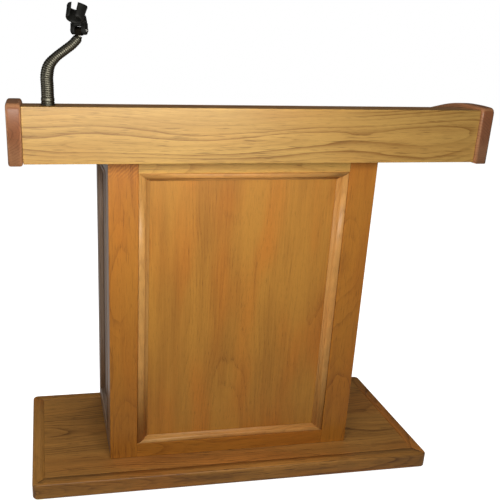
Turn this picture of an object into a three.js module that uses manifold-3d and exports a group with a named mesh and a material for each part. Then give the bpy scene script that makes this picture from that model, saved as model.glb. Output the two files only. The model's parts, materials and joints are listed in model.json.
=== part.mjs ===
// A wide wooden presentation lectern: a panelled cabinet on a broad base board carries a desk with a
// deep front apron, and a gooseneck with a microphone clip stands at the left end of the desk.
// Millimetres, +Z up. The audience is on the -Y side and the speaker on the +Y side. The origin is on
// the floor, under the middle of the lectern's outline.

import * as THREE from 'three';
import { mergeVertices } from 'three/addons/utils/BufferGeometryUtils.js';
import Module from 'manifold-3d';

const wasm = await Module();
wasm.setup();

// ---------------------------------------------------------------- driving dimensions

const overallDepth = 547;          // front of the end boards to the back of the base
const seam = 0.3;                  // glue line or clearance between neighbouring pieces

const base = { width: 1180, depth: 527, top: 52, glide: 4, lipping: 35, corner: 16, round: 6 };
const glide = { radius: 20, inset: 55 };

const cabinet = { width: 728, depth: 412, setback: 104, top: 937, wall: 22 };
const frontFrame = { stile: 78, topRail: 45, bottomRail: 45 };
const sideFrame = { stile: 60, topRail: 54, bottomRail: 48 };
const panel = { recess: 12, thickness: 8 };
const moulding = { sideWidth: 31, endWidth: 21, height: 14, lip: 4 };
const floorBoard = 18;
const backRail = 60;

const shelf = { underside: 470, thickness: 20, inset: 30, sideGap: 1 };
const pin = { radius: 3, reach: 12, depth: 10 };

const desk = { width: 1206, top: 1067, overhang: 13, apron: 19, floor: 12, backRail: 20 };
const endBoard = {
  thickness: 34, drop: 3, rise: 7, crown: 2, crownEase: 50, level: 120, fall: 13, round: 6,
  frontRound: 9, backRound: 30, backProud: 7,
};
const ledge = { depth: 80, thickness: 22 };
const slope = THREE.MathUtils.degToRad(12);
const readingBoard = 18;
const bookStop = { width: 960, height: 20, thickness: 14, fromEdge: 26 };
const bearer = { thickness: 18, offset: 300 };

const neck = {
  x: -507.5, behindApron: 40, flange: 17, flangeHeight: 3, socket: 15.5, socketHeight: 14,
  shank: 6, shankBelow: 18, thickRadius: 14.6, slimRadius: 10.9, taperEnd: 0.62, segments: 7,
};
const neckWasher = { radius: 14, thickness: 2 };
const neckNut = { radius: 12, height: 9 };
const neckPath = { straight: 46, lowerBend: 52, lean: 53, diagonal: 62.5, upperBend: 12 };
const ballGap = 0.5;               // running clearance between a segment's dome and the next one's cup
const cupRim = 0.58;               // height of a cup's rim above its pivot, as a share of the radius

const knuckle = { collar: 7.5, collarHeight: 3.5, rise: 12, eye: 7.5, thickness: 15, bore: 2.3 };
const clip = {
  azimuth: 27, elevation: 62, length: 30, upperRadius: 22.5, lowerRadius: 20, wall: 4.5, slot: 18,
  tubeBack: 19, tubeUp: 35, ear: 9, earRadius: 10, bridge: 10.5, gusset: 5, gussetTop: 32, earGap: 0.4,
};
const pivotScrew = { shank: 2, head: 5, headHeight: 3, nut: 4.6, nutHeight: 3.4 };

// ---------------------------------------------------------------- places worked out from them

const baseBack = overallDepth / 2;
const baseFront = baseBack - base.depth;
const baseMiddle = (baseFront + baseBack) / 2;
const cabinetFront = baseFront + cabinet.setback;
const cabinetBack = cabinetFront + cabinet.depth;
const cabinetHalf = cabinet.width / 2;
const insideHalf = cabinetHalf - cabinet.wall;
const insideFront = cabinetFront + cabinet.wall;
const apronFront = baseFront - desk.overhang;
const apronBack = apronFront + desk.apron;
const ledgeBack = apronFront + ledge.depth;
const deskBack = cabinetBack;
const readingBack = deskBack - desk.backRail;
const deskHalf = desk.width / 2;
const deskInside = deskHalf - endBoard.thickness;
const readingRun = readingBack - ledgeBack;
const readingLow = desk.top - readingRun * Math.tan(slope);
const readingDrop = readingBoard / Math.cos(slope);
const neckY = apronFront + neck.behindApron;
const ledgeUnderside = desk.top - ledge.thickness;

// ---------------------------------------------------------------- materials

const finishes = {
  oak: { color: 0xb5762c, roughness: 0.35, metalness: 0 },
  oakDark: { color: 0x7c4420, roughness: 0.35, metalness: 0 },
  oakBase: { color: 0x6b4824, roughness: 0.3, metalness: 0 },
  plainWood: { color: 0xa9824f, roughness: 0.7, metalness: 0 },
  chrome: { color: 0x6c6a62, roughness: 0.3, metalness: 1 },
  steel: { color: 0x9a9a96, roughness: 0.4, metalness: 1 },
  black: { color: 0x14140f, roughness: 0.55, metalness: 0 },
  nylon: { color: 0x3a3734, roughness: 0.6, metalness: 0 },
};

const lectern = new THREE.Group();

function addMesh(name, geometry, finish, parent = lectern) {
  const mesh = new THREE.Mesh(geometry, new THREE.MeshStandardMaterial(finishes[finish]));
  mesh.name = name;
  parent.add(mesh);
  return mesh;
}

// ---------------------------------------------------------------- shapes

// A board between nominal faces, cut half a seam short on every side so that neighbours never touch.
function boardGeometry([x0, x1], [y0, y1], [z0, z1]) {
  const geometry = new THREE.BoxGeometry(x1 - x0 - seam, y1 - y0 - seam, z1 - z0 - seam);
  return geometry.translate((x0 + x1) / 2, (y0 + y1) / 2, (z0 + z1) / 2);
}

function addBoard(name, xSpan, ySpan, zSpan, finish) {
  return addMesh(name, boardGeometry(xSpan, ySpan, zSpan), finish);
}

// Extrudes an outline drawn in (Y, Z) along X, between two X faces.
function extrudeAcross(shape, x0, x1, bevel = 0, steps = 3) {
  const geometry = new THREE.ExtrudeGeometry(shape, {
    depth: x1 - x0 - 2 * bevel, bevelEnabled: bevel > 0, bevelThickness: bevel, bevelSize: bevel,
    bevelOffset: -bevel, bevelSegments: steps, curveSegments: 10,
  });
  const yAxis = new THREE.Vector3(0, 1, 0);
  const zAxis = new THREE.Vector3(0, 0, 1);
  const xAxis = new THREE.Vector3(1, 0, 0);
  geometry.applyMatrix4(new THREE.Matrix4().makeBasis(yAxis, zAxis, xAxis));
  return geometry.translate(x0 + bevel, 0, 0);
}

function outline(points) {
  return new THREE.Shape(points.map(([y, z]) => new THREE.Vector2(y, z)));
}

function cylinder(radius, height, sides = 24) {
  return new THREE.CylinderGeometry(radius, radius, height, sides);
}

// An upright cylinder standing on z.
function post(radius, height, x, y, z, sides = 24) {
  return cylinder(radius, height, sides).rotateX(Math.PI / 2).translate(x, y, z + height / 2);
}

// ---------------------------------------------------------------- booleans

function toSolid(geometry) {
  const bare = geometry.clone();
  bare.deleteAttribute('normal');
  bare.deleteAttribute('uv');
  const merged = mergeVertices(bare, 1e-4);
  return new wasm.Manifold(new wasm.Mesh({
    numProp: 3,
    vertProperties: new Float32Array(merged.attributes.position.array),
    triVerts: new Uint32Array(merged.index.array),
  }));
}

function toGeometry(solid) {
  const mesh = solid.getMesh();
  const geometry = new THREE.BufferGeometry();
  geometry.setAttribute('position', new THREE.BufferAttribute(mesh.vertProperties, 3));
  geometry.setIndex(new THREE.BufferAttribute(mesh.triVerts, 1));
  geometry.computeVertexNormals();
  return geometry;
}

function joined(...geometries) {
  return geometries.map(toSolid).reduce((whole, solid) => whole.add(solid));
}

function cut(geometry, ...tools) {
  return toGeometry(tools.map(toSolid).reduce((rest, tool) => rest.subtract(tool), toSolid(geometry)));
}

// ---------------------------------------------------------------- base

// The base board's full outline with rounded plan corners and rounded top and bottom edges.
function baseSlab() {
  const x = base.width / 2;
  const y = base.depth / 2;
  const r = base.corner;
  const shape = new THREE.Shape();
  shape.moveTo(-x + r, -y);
  shape.lineTo(x - r, -y);
  shape.absarc(x - r, -y + r, r, -Math.PI / 2, 0);
  shape.lineTo(x, y - r);
  shape.absarc(x - r, y - r, r, 0, Math.PI / 2);
  shape.lineTo(-x + r, y);
  shape.absarc(-x + r, y - r, r, Math.PI / 2, Math.PI);
  shape.lineTo(-x, -y + r);
  shape.absarc(-x + r, -y + r, r, Math.PI, 1.5 * Math.PI);
  const geometry = new THREE.ExtrudeGeometry(shape, {
    depth: base.top - base.glide - 2 * base.round, bevelThickness: base.round,
    bevelSize: base.round, bevelOffset: -base.round, bevelSegments: 4, curveSegments: 6,
  });
  return geometry.translate(0, baseMiddle, base.glide + base.round);
}

// A tall wedge over one side of the base, bounded by the mitre lines of its two corners and reaching
// a little past the lipping both ways.
function mitreWedge(side) {
  const reach = base.width;
  const spare = 5;
  const inner = base.lipping + spare;
  const acrossX = side === 'front' || side === 'back';
  const half = (acrossX ? base.width : base.depth) / 2 - seam;
  const wedge = new THREE.ExtrudeGeometry(outline([
    [-half - spare, -spare], [half + spare, -spare], [half - inner, inner], [-half + inner, inner],
  ]), { depth: reach, bevelEnabled: false });
  const turns = { front: 0, right: 1, back: 2, left: 3 };
  wedge.translate(0, -(acrossX ? base.depth : base.width) / 2, -reach / 2);
  return wedge.rotateZ((turns[side] * Math.PI) / 2).translate(0, baseMiddle, 0);
}

function addBase() {
  const coreX = base.width / 2 - base.lipping;
  const coreY = base.depth / 2 - base.lipping;
  addBoard('base_panel', [-coreX, coreX], [baseMiddle - coreY, baseMiddle + coreY],
    [base.glide, base.top], 'oakBase');

  const well = new THREE.BoxGeometry(2 * coreX + seam, 2 * coreY + seam, 2 * base.top);
  const ring = toSolid(baseSlab()).subtract(toSolid(well.translate(0, baseMiddle, base.top / 2)));
  for (const side of ['front', 'back', 'left', 'right']) {
    const piece = ring.intersect(toSolid(mitreWedge(side)));
    addMesh(`base_lipping_${side}`, toGeometry(piece), 'oakBase');
  }

  for (const [depthName, ySign] of [['front', -1], ['back', 1]]) {
    for (const [sideName, xSign] of [['left', -1], ['right', 1]]) {
      const x = xSign * (base.width / 2 - glide.inset);
      const y = baseMiddle + ySign * (base.depth / 2 - glide.inset);
      addMesh(`glide_${depthName}_${sideName}`, post(glide.radius, base.glide, x, y, 0), 'nylon');
    }
  }
}

// ---------------------------------------------------------------- cabinet

// Section of a panel moulding: x runs from the frame's edge over the panel, y away from the panel.
function mouldingSection(width) {
  const { height, lip } = moulding;
  const inner = width - seam / 2;
  const shape = new THREE.Shape();
  shape.moveTo(seam / 2, seam / 2);
  shape.lineTo(inner, seam / 2);
  shape.lineTo(inner, lip);
  shape.quadraticCurveTo(width * 0.72, lip, width * 0.62, height * 0.62);
  shape.quadraticCurveTo(width * 0.5, height, width * 0.3, height);
  shape.lineTo(seam / 2, height);
  return shape;
}

// One straight moulding, mitred at its ends to meet mouldings of the width `nextWidth`. Its section
// lies in the plane of `inward` (over the panel) and `normal` (away from the panel).
function mouldingGeometry(corner, length, widths, inward, normal) {
  const [width, nextWidth] = widths;
  const geometry = new THREE.ExtrudeGeometry(mouldingSection(width), {
    depth: length, bevelEnabled: false, curveSegments: 4,
  });
  const position = geometry.attributes.position;
  for (let i = 0; i < position.count; i += 1) {
    const mitre = position.getX(i) * (nextWidth / width) + seam;
    position.setZ(i, position.getZ(i) < length / 2 ? mitre : length - mitre);
  }
  const along = new THREE.Vector3().crossVectors(inward, normal);
  geometry.applyMatrix4(new THREE.Matrix4().makeBasis(inward, normal, along));
  return geometry.translate(corner.x, corner.y, corner.z);
}

// Four mouldings round the front panel's opening.
function addFrontMouldings(halfWidth, low, high) {
  const normal = new THREE.Vector3(0, -1, 0);
  const middle = new THREE.Vector3(0, cabinetFront + panel.recess, (low + high) / 2);
  const sides = {
    bottom: { inward: [0, 0, 1], length: 2 * halfWidth, reach: (high - low) / 2 },
    top: { inward: [0, 0, -1], length: 2 * halfWidth, reach: (high - low) / 2 },
    left: { inward: [1, 0, 0], length: high - low, reach: halfWidth },
    right: { inward: [-1, 0, 0], length: high - low, reach: halfWidth },
  };
  for (const [side, { inward, length, reach }] of Object.entries(sides)) {
    const inwardAxis = new THREE.Vector3(...inward);
    const along = new THREE.Vector3().crossVectors(inwardAxis, normal);
    const corner = middle.clone().addScaledVector(inwardAxis, -reach);
    corner.addScaledVector(along, -length / 2);
    const { sideWidth, endWidth } = moulding;
    const widths = inwardAxis.x === 0 ? [endWidth, sideWidth] : [sideWidth, endWidth];
    const geometry = mouldingGeometry(corner, length, widths, inwardAxis, normal);
    addMesh(`front_moulding_${side}`, geometry, 'oak');
  }
}

function addFrontFrame() {
  const depth = [cabinetFront, insideFront];
  const opening = cabinetHalf - frontFrame.stile;
  const low = base.top + frontFrame.bottomRail;
  const high = cabinet.top - frontFrame.topRail;
  addBoard('front_stile_left', [-cabinetHalf, -opening], depth, [base.top, cabinet.top], 'oak');
  addBoard('front_stile_right', [opening, cabinetHalf], depth, [base.top, cabinet.top], 'oak');
  addBoard('front_rail_bottom', [-opening, opening], depth, [base.top, low], 'oak');
  addBoard('front_rail_top', [-opening, opening], depth, [high, cabinet.top], 'oak');
  const panelFace = cabinetFront + panel.recess;
  addBoard('front_panel', [-opening, opening], [panelFace, panelFace + panel.thickness], [low, high],
    'oak');
  addFrontMouldings(opening, low, high);
}

// Sorts a span that was mirrored to the -X side.
function mirrored(sign, inner, outer) {
  return [sign * inner, sign * outer].sort((a, b) => a - b);
}

// A stile with the blind hole for one shelf pin in its inner face.
function drilledStile(xSpan, ySpan, sign) {
  const hole = cylinder(pin.radius + seam, 2 * (pin.depth + seam), 16).rotateZ(Math.PI / 2);
  hole.translate(sign * insideHalf, (ySpan[0] + ySpan[1]) / 2, pinHeight());
  return cut(boardGeometry(xSpan, ySpan, [base.top, cabinet.top]), hole);
}

function pinHeight() {
  return shelf.underside - pin.radius - seam / 2;
}

function addSideFrame(side, sign) {
  const wall = mirrored(sign, insideHalf, cabinetHalf);
  const frontEdge = insideFront + sideFrame.stile;
  const backEdge = cabinetBack - sideFrame.stile;
  const low = base.top + sideFrame.bottomRail;
  const high = cabinet.top - sideFrame.topRail;
  const stiles = { front: [insideFront, frontEdge], back: [backEdge, cabinetBack] };
  for (const [place, span] of Object.entries(stiles)) {
    addMesh(`${side}_stile_${place}`, drilledStile(wall, span, sign), 'oak');
    const peg = cylinder(pin.radius, pin.reach + pin.depth, 16).rotateZ(Math.PI / 2);
    const pegMiddle = insideHalf + (pin.depth - pin.reach) / 2;
    peg.translate(sign * pegMiddle, (span[0] + span[1]) / 2, pinHeight());
    addMesh(`shelf_pin_${place}_${side}`, peg, 'steel');
  }
  addBoard(`${side}_rail_bottom`, wall, [frontEdge, backEdge], [base.top, low], 'oak');
  addBoard(`${side}_rail_top`, wall, [frontEdge, backEdge], [high, cabinet.top], 'oak');
  const face = cabinetHalf - panel.recess;
  addBoard(`${side}_panel`, mirrored(sign, face - panel.thickness, face), [frontEdge, backEdge],
    [low, high], 'oak');
}

function addCabinet() {
  addFrontFrame();
  addSideFrame('left_side', -1);
  addSideFrame('right_side', 1);
  const inside = [-insideHalf, insideHalf];
  addBoard('cabinet_floor', inside, [insideFront, cabinetBack], [base.top, base.top + floorBoard],
    'plainWood');
  addBoard('cabinet_back_rail', inside, [cabinetBack - cabinet.wall, cabinetBack],
    [cabinet.top - backRail, cabinet.top], 'oak');
  addBoard('shelf', [-insideHalf + shelf.sideGap, insideHalf - shelf.sideGap],
    [insideFront + shelf.inset / 2, cabinetBack - shelf.inset],
    [shelf.underside, shelf.underside + shelf.thickness], 'plainWood');
}

// ---------------------------------------------------------------- desk

// Outline of an end board in (Y, Z): nearly level over the ledge, with a slight crown, then falling
// along the reading slope to a rounded corner on the speaker's side.
function endBoardOutline() {
  const front = -overallDepth / 2;
  const back = deskBack + endBoard.backProud;
  const bottom = cabinet.top - endBoard.drop;
  const frontTop = desk.top + endBoard.rise;
  const crownY = ledgeBack;
  const crownTop = frontTop + endBoard.crown;
  const bendY = crownY + endBoard.level;
  const bendTop = crownTop - endBoard.fall;
  const backTop = bendTop - (back - bendY) * Math.tan(slope);
  const shape = new THREE.Shape();
  shape.moveTo(front, bottom);
  shape.lineTo(back, bottom);
  shape.lineTo(back, backTop - endBoard.backRound);
  shape.quadraticCurveTo(back, backTop, back - endBoard.backRound,
    backTop + endBoard.backRound * Math.tan(slope));
  shape.lineTo(bendY, bendTop);
  shape.quadraticCurveTo(bendY - endBoard.fall / Math.tan(slope), crownTop, crownY, crownTop);
  shape.quadraticCurveTo(crownY - endBoard.crownEase, crownTop, front + endBoard.frontRound,
    frontTop);
  shape.quadraticCurveTo(front, frontTop, front, frontTop - endBoard.frontRound);
  return shape;
}

// The plank that closes the space between two heights and follows the reading slope on top.
function slopedOutline(yFront, yBack, topAtLedge, bottomFront, bottomBack) {
  const topAt = (y) => topAtLedge - (y - ledgeBack) * Math.tan(slope);
  return outline([
    [yFront, bottomFront], [yBack, bottomBack], [yBack, topAt(yBack)], [yFront, topAt(yFront)],
  ]);
}

function addReadingBoard() {
  const half = seam / 2;
  const shape = slopedOutline(ledgeBack + half, readingBack - half, desk.top,
    desk.top - readingDrop, readingLow - readingDrop);
  addMesh('reading_board', extrudeAcross(shape, -deskInside + half, deskInside - half), 'oak');
}

function addBookStop() {
  const { height, thickness, fromEdge, width } = bookStop;
  const run = readingRun / Math.cos(slope);
  const high = run - fromEdge - thickness;
  const shape = new THREE.Shape();
  shape.moveTo(high, seam);
  shape.lineTo(high + thickness, seam);
  shape.lineTo(high + thickness, height - thickness / 2);
  shape.absarc(high + thickness / 2, height - thickness / 2, thickness / 2, 0, Math.PI);
  const mesh = addMesh('book_stop', extrudeAcross(shape, -width / 2, width / 2), 'oakDark');
  mesh.position.set(0, ledgeBack, desk.top);
  mesh.rotation.x = -slope;
}

function addBearers() {
  const floorTop = cabinet.top + desk.floor + seam;
  const shape = slopedOutline(ledgeBack + seam, readingBack - seam, desk.top - readingDrop - seam,
    floorTop, floorTop);
  for (const [side, sign] of [['left', -1], ['right', 1]]) {
    const [x0, x1] = mirrored(sign, bearer.offset, bearer.offset + bearer.thickness);
    addMesh(`desk_bearer_${side}`, extrudeAcross(shape, x0, x1), 'plainWood');
  }
}

function addDesk() {
  const inside = [-deskInside, deskInside];
  addBoard('apron', inside, [apronFront, apronBack], [cabinet.top, desk.top], 'oak');
  addMesh('end_board_left', extrudeAcross(endBoardOutline(), -deskHalf, -deskInside - seam,
    endBoard.round), 'oakDark');
  addMesh('end_board_right', extrudeAcross(endBoardOutline(), deskInside + seam, deskHalf,
    endBoard.round), 'oakDark');
  const ledgeBoard = boardGeometry(inside, [apronBack, ledgeBack], [ledgeUnderside, desk.top]);
  const hole = post(neck.shank + seam, 2 * ledge.thickness, neck.x, neckY,
    ledgeUnderside - ledge.thickness / 2, 20);
  addMesh('ledge', cut(ledgeBoard, hole), 'oak');
  addReadingBoard();
  addBoard('desk_back_rail', inside, [readingBack, deskBack], [cabinet.top, readingLow], 'oak');
  addBoard('desk_floor', inside, [apronBack, readingBack], [cabinet.top, cabinet.top + desk.floor],
    'plainWood');
  addBookStop();
  addBearers();
}

// ---------------------------------------------------------------- gooseneck

const neckStart = desk.top + neck.flangeHeight + neck.socketHeight;
const leanAngle = THREE.MathUtils.degToRad(neckPath.lean);
const lowerArc = neckPath.lowerBend * leanAngle;
const upperArc = neckPath.upperBend * leanAngle;
const neckLength = neckPath.straight + lowerArc + neckPath.diagonal + upperArc;

// The neck's centre line in the XZ plane: straight up, over to the right, a straight diagonal, and
// back to upright. Returns the point at a distance along it from the top of the socket.
function neckPoint(distance) {
  const point = new THREE.Vector3(neck.x, neckY, neckStart);
  const straight = Math.min(distance, neckPath.straight);
  point.z += straight;
  const bend = THREE.MathUtils.clamp(distance - neckPath.straight, 0, lowerArc);
  const turned = bend / neckPath.lowerBend;
  point.x += neckPath.lowerBend * (1 - Math.cos(turned));
  point.z += neckPath.lowerBend * Math.sin(turned);
  const rest = distance - neckPath.straight - lowerArc;
  const diagonal = THREE.MathUtils.clamp(rest, 0, neckPath.diagonal);
  point.x += diagonal * Math.sin(leanAngle);
  point.z += diagonal * Math.cos(leanAngle);
  const back = Math.max(rest - neckPath.diagonal, 0) / neckPath.upperBend;
  point.x += neckPath.upperBend * (Math.cos(leanAngle - back) - Math.cos(leanAngle));
  point.z += neckPath.upperBend * (Math.sin(leanAngle) - Math.sin(leanAngle - back));
  return point;
}

const neckTop = neckPoint(neckLength);

function neckRadius(share) {
  return THREE.MathUtils.lerp(neck.thickRadius, neck.slimRadius,
    THREE.MathUtils.smoothstep(share, 0, neck.taperEnd));
}

// Lathe profile of one neck segment along its own axis. Its lower end is cupped over the dome of the
// segment below, and its upper end is a dome centred on the next pivot; the outer ends are flat.
function segmentProfile(length, lowerRadius, upperRadius, isFirst, isLast) {
  const points = [];
  if (isFirst) {
    points.push([0, seam], [lowerRadius, seam]);
  } else {
    const cup = lowerRadius + ballGap;
    const rim = cupRim * lowerRadius;
    const rimAngle = Math.asin(rim / cup);
    const steps = 4;
    for (let i = 0; i <= steps; i += 1) {
      const angle = THREE.MathUtils.lerp(Math.PI / 2, rimAngle, i / steps);
      points.push([i === 0 ? 0 : cup * Math.cos(angle), cup * Math.sin(angle)]);
    }
    points.push([lowerRadius, rim]);
  }
  points.push([upperRadius, length]);
  if (isLast) {
    points.push([0, length]);
  } else {
    const steps = 4;
    for (let i = 1; i <= steps; i += 1) {
      const angle = (i / steps) * (Math.PI / 2);
      points.push([i === steps ? 0 : upperRadius * Math.cos(angle),
        length + upperRadius * Math.sin(angle)]);
    }
  }
  return points.map(([radius, along]) => new THREE.Vector2(radius, along));
}

// The segments run straight from pivot to pivot. The last one leans a little, so it is made too long
// and its top is cut level for the knuckle to stand on.
function addNeckSegments() {
  const count = neck.segments;
  const spare = neck.slimRadius / 2;
  const above = new THREE.BoxGeometry(100, 100, 100);
  above.translate(neckTop.x, neckTop.y, neckTop.z + 50);
  for (let i = 0; i < count; i += 1) {
    const isLast = i === count - 1;
    const start = neckPoint((neckLength * i) / count);
    const end = neckPoint((neckLength * (i + 1)) / count);
    const length = start.distanceTo(end) + (isLast ? spare : 0);
    const profile = segmentProfile(length, neckRadius(i / count), neckRadius((i + 1) / count),
      i === 0, isLast);
    const geometry = new THREE.LatheGeometry(profile, 16);
    const direction = end.clone().sub(start).normalize();
    geometry.applyQuaternion(new THREE.Quaternion().setFromUnitVectors(
      new THREE.Vector3(0, 1, 0), direction));
    geometry.translate(start.x, start.y, start.z);
    addMesh(`neck_segment_${i + 1}`, isLast ? cut(geometry, above) : geometry, 'chrome');
  }
}

// The neck's foot: a flange on the ledge, a socket whose threaded shank goes through the ledge, and
// the washer and nut that clamp it from below.
function addNeckFoot() {
  const bore = neck.shank + seam;
  const flange = post(neck.flange, neck.flangeHeight - seam, neck.x, neckY, desk.top + seam, 32);
  const flangeBore = post(bore, 3 * neck.flangeHeight, neck.x, neckY, desk.top - neck.flangeHeight);
  addMesh('neck_flange', cut(flange, flangeBore), 'chrome');

  const socketBottom = desk.top + neck.flangeHeight + seam;
  const shankBottom = ledgeUnderside - neck.shankBelow;
  const socket = post(neck.socket, neckStart - socketBottom, neck.x, neckY, socketBottom, 32);
  const shank = post(neck.shank, socketBottom - shankBottom + 1, neck.x, neckY, shankBottom);
  addMesh('neck_socket', toGeometry(joined(socket, shank)), 'chrome');

  const drill = post(bore, ledge.thickness + neck.shankBelow, neck.x, neckY, shankBottom);
  const washerBottom = ledgeUnderside - seam - neckWasher.thickness;
  const washer = post(neckWasher.radius, neckWasher.thickness, neck.x, neckY, washerBottom);
  addMesh('neck_washer', cut(washer, drill), 'steel');
  const nutBottom = washerBottom - seam - neckNut.height;
  const nut = post(neckNut.radius, neckNut.height, neck.x, neckY, nutBottom, 6);
  addMesh('neck_nut', cut(nut, drill), 'steel');
}

// ---------------------------------------------------------------- microphone clip

const pivot = neckTop.clone().setZ(neckTop.z + knuckle.rise);

// Tab with a round end centred on the origin, drawn in (Y, Z) and extruded along X. Its other end
// is square, at a height above or below the origin.
function roundTab(radius, squareEnd, x0, x1) {
  const shape = new THREE.Shape();
  const facesUp = squareEnd > 0;
  shape.moveTo(facesUp ? radius : -radius, squareEnd);
  shape.lineTo(facesUp ? -radius : radius, squareEnd);
  shape.absarc(0, 0, radius, facesUp ? Math.PI : 0, facesUp ? 2 * Math.PI : Math.PI);
  return extrudeAcross(shape, x0, x1);
}

// A cylinder along X, centred on x.
function crossRod(radius, length, x, sides = 16) {
  return cylinder(radius, length, sides).rotateZ(Math.PI / 2).translate(x, 0, 0);
}

function knuckleGeometry() {
  const bottom = -knuckle.rise + seam;
  const collar = post(knuckle.collar, knuckle.collarHeight, 0, 0, bottom);
  const half = knuckle.thickness / 2;
  const tab = roundTab(knuckle.eye, bottom + 1, -half, half);
  return cut(toGeometry(joined(collar, tab)), crossRod(knuckle.bore, 2 * knuckle.thickness, 0));
}

// The tapered tube that grips the microphone, open along its upper side by a slot.
function clipTube() {
  const { length, upperRadius, lowerRadius, wall, slot } = clip;
  const ring = new THREE.LatheGeometry([
    new THREE.Vector2(lowerRadius - wall, -length / 2),
    new THREE.Vector2(lowerRadius, -length / 2),
    new THREE.Vector2(upperRadius, length / 2),
    new THREE.Vector2(upperRadius - wall, length / 2),
    new THREE.Vector2(lowerRadius - wall, -length / 2),
  ], 32);
  const opening = new THREE.BoxGeometry(slot, 2 * length, 2 * upperRadius);
  const tube = cut(ring, opening.translate(0, 0, upperRadius));
  tube.rotateX(THREE.MathUtils.degToRad(clip.elevation));
  return tube.translate(0, -clip.tubeBack, clip.tubeUp);
}

// Two ears astride the knuckle, the bridge that joins them, and its gusset up to the tube.
function clipFork() {
  const inner = knuckle.thickness / 2 + clip.earGap;
  const outer = inner + clip.ear;
  const radius = clip.earRadius;
  const bridge = extrudeAcross(outline([
    [-radius, clip.bridge], [radius, clip.bridge], [radius, 2 * clip.bridge],
    [1, clip.gussetTop], [-radius, clip.bridge + clip.gusset],
  ]), -outer, outer);
  const leftEar = roundTab(radius, clip.bridge + 2, -outer, -inner);
  const rightEar = roundTab(radius, clip.bridge + 2, inner, outer);
  return cut(toGeometry(joined(bridge, leftEar, rightEar)), crossRod(knuckle.bore, 4 * outer, 0));
}

// The knuckle and the clip are drawn with X along the tilt pivot, Y the level direction in which the
// microphone leans, and Z up, with the origin on the pivot.
function addClip() {
  const group = new THREE.Group();
  group.position.copy(pivot);
  group.rotation.z = -THREE.MathUtils.degToRad(clip.azimuth);
  lectern.add(group);
  addMesh('clip_knuckle', knuckleGeometry(), 'steel', group);
  addMesh('mic_clip', toGeometry(joined(clipTube(), clipFork())), 'black', group);

  const earFace = knuckle.thickness / 2 + clip.earGap + clip.ear + seam;
  const { shank, head, headHeight, nut, nutHeight } = pivotScrew;
  const shankLength = 2 * earFace + nutHeight + 1;
  const rod = crossRod(shank, shankLength, -earFace - 0.5 + shankLength / 2);
  const cap = crossRod(head, headHeight, -earFace - headHeight / 2, 20);
  addMesh('pivot_screw', toGeometry(joined(rod, cap)), 'steel', group);
  const nutMiddle = earFace + nutHeight / 2;
  const nutBore = crossRod(knuckle.bore, 2 * nutHeight, nutMiddle);
  addMesh('pivot_nut', cut(crossRod(nut, nutHeight, nutMiddle, 6), nutBore), 'steel', group);
}

// ---------------------------------------------------------------- assembly

addBase();
addCabinet();
addDesk();
addNeckFoot();
addNeckSegments();
addClip();

export default lectern;
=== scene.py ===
"""Looks of a wooden presentation lectern with a gooseneck and a microphone clip.

Every board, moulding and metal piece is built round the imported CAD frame, in metres, +Z up, with the
audience on the -Y side. Materials are procedural: sawn oak under lacquer, wound metal, black plastic,
zinc and nylon.
"""
import json
import math

import bmesh
import bpy
from mathutils import Matrix, Vector


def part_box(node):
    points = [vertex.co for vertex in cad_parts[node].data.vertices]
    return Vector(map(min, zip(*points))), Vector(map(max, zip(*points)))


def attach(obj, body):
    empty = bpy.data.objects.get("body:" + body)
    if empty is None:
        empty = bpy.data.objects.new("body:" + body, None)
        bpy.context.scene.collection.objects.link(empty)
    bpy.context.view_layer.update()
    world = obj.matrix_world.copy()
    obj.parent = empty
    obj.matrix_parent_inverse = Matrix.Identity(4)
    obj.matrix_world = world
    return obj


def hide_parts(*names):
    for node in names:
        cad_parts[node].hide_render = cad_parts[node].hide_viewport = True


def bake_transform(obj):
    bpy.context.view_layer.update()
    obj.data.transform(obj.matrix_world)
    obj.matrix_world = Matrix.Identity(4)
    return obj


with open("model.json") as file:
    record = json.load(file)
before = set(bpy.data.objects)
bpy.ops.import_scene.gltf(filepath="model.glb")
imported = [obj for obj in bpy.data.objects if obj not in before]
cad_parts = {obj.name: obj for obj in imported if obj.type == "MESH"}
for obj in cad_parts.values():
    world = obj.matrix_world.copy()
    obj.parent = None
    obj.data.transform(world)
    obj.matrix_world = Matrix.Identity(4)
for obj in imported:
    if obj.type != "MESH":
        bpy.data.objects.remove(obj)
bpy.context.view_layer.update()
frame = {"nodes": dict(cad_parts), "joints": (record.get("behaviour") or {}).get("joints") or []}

X, Y, Z = 0, 1, 2
AXES = (Vector((1, 0, 0)), Vector((0, 1, 0)), Vector((0, 0, 1)))

# ---------------------------------------------------------------- driving values

CAMERA = {
    "place": (-0.5198, -1.9613, 1.2348), "turn": 0.1910, "dip": 0.3612, "roll": -0.0279,
    "lens": 51.63, "shift": (0.14, 0.104),
}

EDGE_ROUND = 0.0016        # eased edge of a planed board
RUBBED_BAND = 0.010        # width of the rubbed band next to an edge

# A moulding's section is drawn at width and then stretched to side_width or end_width.
MOULDING = {"side_width": 0.031, "end_width": 0.021, "width": 0.028, "height": 0.014,
            "quirk": 0.0016, "crest_end": 0.0165, "foot": 0.0245, "lip": 0.003, "edge_gap": 0.00015}
READING_SLOPE = math.radians(12)
END_BOARD = {"round": 0.006, "front_round": 0.009, "back_round": 0.030, "front_rise": 0.007,
             "level": 0.120, "fall": 0.013, "ease": 0.050}
BOOK_STOP = {"height": 0.020, "thickness": 0.014, "from_edge": 0.026}
LIPPING_CORNER = 0.016     # radius of the base's corners, seen from above
LIPPING_ROUND = 0.006      # radius of its upper and lower edges

WINDING_PITCH = 0.0048     # one turn of the gooseneck's wire
WINDING_DEPTH = 0.0012
NECK_RADII = (0.0149, 0.0110)
NECK_TAPER = (0.30, 0.62)  # between these shares of its length the gooseneck gets slimmer
NECK_RUNOUT = 0.012        # straight run at each end of the gooseneck
NECK_END = {"length": 0.009, "narrowing": 0.34}    # clears the clip's fork

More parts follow.
